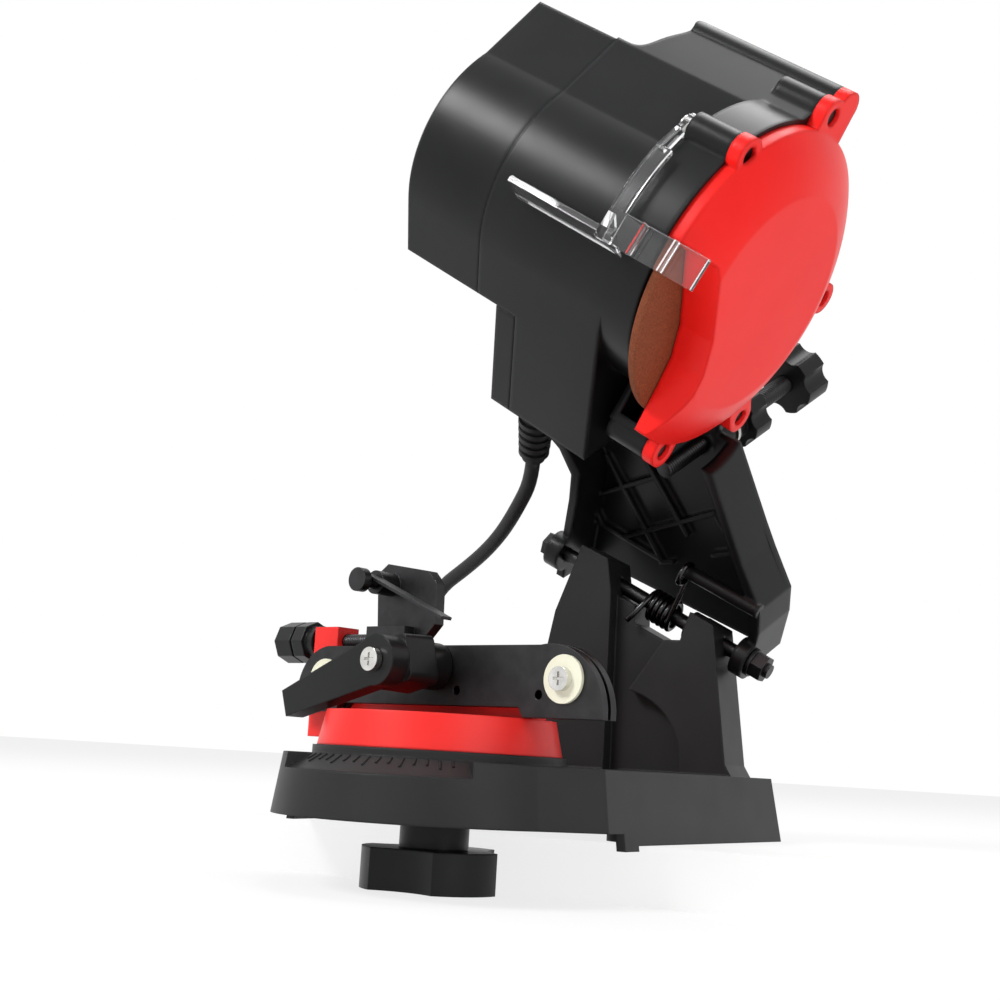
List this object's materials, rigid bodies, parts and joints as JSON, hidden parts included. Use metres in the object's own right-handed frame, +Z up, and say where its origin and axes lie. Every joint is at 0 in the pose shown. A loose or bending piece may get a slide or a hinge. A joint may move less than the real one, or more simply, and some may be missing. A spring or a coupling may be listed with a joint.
{
  "type": "chainsaw chain sharpener",
  "caption": "Bench-mounted electric sharpener for saw chains: tilting motor head with a thin grinding wheel, red guard and clear visor over a swivelling chain vise.",
  "frame": {"origin": "midway between the two mounting holes, on the plane of the bench top", "axes": "+Z up, +X to the operator's right along the line of the mounting holes, +Y to the back"},
  "size_m": [0.2282, 0.2899, 0.3314],
  "materials": {
    "black_housing": "satin black moulded plastic, smooth",
    "black_base": "fine-textured black moulded plastic",
    "black_knob": "matte black plastic",
    "red_guard": "bright red plastic, light orange-peel",
    "red_vise": "red plastic, satin",
    "clear_visor": "clear polycarbonate",
    "abrasive": "red-brown bonded abrasive, fine grain",
    "black_steel": "black coated steel",
    "zinc_steel": "zinc plated steel",
    "bright_zinc": "bright zinc",
    "cream_washer": "cream zinc",
    "spring_steel": "black oxide spring wire",
    "flange_alloy": "turned aluminium",
    "motor_iron": "laminated steel",
    "copper": "copper",
    "carbon": "carbon brush",
    "brass_holder": "brass strip",
    "white_fan": "white nylon",
    "red_rocker": "red rocker",
    "cord_rubber": "black PVC, satin"
  },
  "bodies": {
    "base": {"base": "black_base", "pivot_pin": "black_steel", "pivot_nut": "black_steel", "pivot_washer": "black_steel", "torsion_spring": "spring_steel", "cord_coil": "cord_rubber", "plug": "cord_rubber", "plug_pins": "bright_zinc"},
    "vise": {"turntable": "red_vise", "stud": "zinc_steel", "front_rail": "black_steel", "rear_rail": "black_steel", "rail_washers": "cream_washer", "rail_screws": "bright_zinc", "lever_bolt": "bright_zinc", "lever_nut": "zinc_steel", "stop_lock_nut": "black_knob"},
    "clamp_knob": {"clamp_knob": "black_knob", "clamp_nut": "zinc_steel"},
    "clamp_lever": {"clamp_lever": "black_knob"},
    "stop_screw": {"stop_screw": "black_steel", "stop_knob": "black_knob"},
    "chain_stop": {"stop_bracket": "black_steel", "pawl_bolt": "black_steel"},
    "pawl": {"stop_pawl": "black_steel"},
    "head": {"motor_housing": "black_housing", "rear_cap": "black_housing", "cap_screws": "zinc_steel", "switch_box_cover": "black_housing", "switch_body": "black_knob", "cord_gland": "cord_rubber", "power_cord": "cord_rubber", "wheel_guard": "red_guard", "guard_screws": "black_steel", "visor_pin": "zinc_steel", "front_bearing": "zinc_steel", "rear_bearing": "zinc_steel", "stator": "motor_iron", "brushes": "carbon", "brush_holders": "brass_holder", "depth_washer": "zinc_steel", "depth_lock_nut": "black_knob"},
    "wheel": {"grinding_wheel": "abrasive", "inner_flange": "flange_alloy", "outer_flange": "flange_alloy", "wheel_nut": "zinc_steel", "motor_shaft": "zinc_steel", "armature": "motor_iron", "commutator": "copper", "fan": "white_fan"},
    "visor": {"visor": "clear_visor"},
    "switch_rocker": {"switch_rocker": "red_rocker"},
    "depth_screw": {"depth_screw": "black_steel"},
    "depth_knob": {"depth_knob": "black_knob"}
  },
  "joints": [
    {"name": "vise_swivel", "type": "hinge", "parent": "base", "child": "vise", "pos_m": [0, -0.042, 0], "axis": [0, 0, 1], "range_deg": [-15.6, 44.4]},
    {"name": "clamp_knob_turn", "type": "hinge", "parent": "vise", "child": "clamp_knob", "pos_m": [0, -0.042, 0], "axis": [0, 0, 1], "continuous": true},
    {"name": "clamp_lever_turn", "type": "hinge", "parent": "vise", "child": "clamp_lever", "pos_m": [-0.00097, -0.04175, 0.0565], "axis": [0.2487, 0.9686, 0], "range_deg": [0, 30]},
    {"name": "stop_screw_turn", "type": "hinge", "parent": "vise", "child": "stop_screw", "pos_m": [0.00224, -0.03328, 0.0666], "axis": [0.9686, -0.2487, 0], "range_deg": [-720, 720]},
    {"name": "chain_stop_slide", "type": "slide", "parent": "vise", "child": "chain_stop", "axis": [0.9686, -0.2487, 0], "range_m": [-0.002, 0.002]},
    {"name": "pawl_flip", "type": "hinge", "parent": "chain_stop", "child": "pawl", "pos_m": [-0.03807, -0.03223, 0.088], "axis": [0.2487, 0.9686, 0], "range_deg": [-12, 0]},
    {"name": "head_swing", "type": "hinge", "parent": "base", "child": "head", "pos_m": [0.0193, 0.086, 0.0968], "axis": [0.8846, 0, -0.4664], "range_deg": [0, 42], "stiffness_Nm_per_rad": 2.2, "springref_deg": -68.75, "deforming": ["torsion_spring"]},
    {"name": "wheel_spin", "type": "hinge", "parent": "head", "child": "wheel", "pos_m": [0.0848, -0.0012, 0.2003], "axis": [0.8443, 0, -0.5358], "continuous": true},
    {"name": "visor_flip", "type": "hinge", "parent": "head", "child": "visor", "pos_m": [0.08836, -0.0537, 0.2395], "axis": [0.8443, 0, -0.5358], "range_deg": [-60, 0]},
    {"name": "rocker_tilt", "type": "hinge", "parent": "head", "child": "switch_rocker", "pos_m": [0.06747, 0.01831, 0.26538], "axis": [-0.3983, 0.669, -0.6276], "range_deg": [0, 16]},
    {"name": "depth_knob_turn", "type": "hinge", "parent": "depth_screw", "child": "depth_knob", "pos_m": [0.07582, 0.1085, 0.19328], "axis": [-0.3812, -0.7132, -0.5882], "range_deg": [0, 1440]},
    {"name": "depth_screw_slide", "type": "slide", "parent": "head", "child": "depth_screw", "axis": [-0.3812, -0.7132, -0.5882], "range_m": [0, 0.005]}
  ],
  "couplings": [
    {"joint": "stop_screw_turn", "follows": "chain_stop_slide", "rad_per_m": 6283.1},
    {"joint": "depth_knob_turn", "follows": "depth_screw_slide", "rad_per_m": 5026.5}
  ]
}
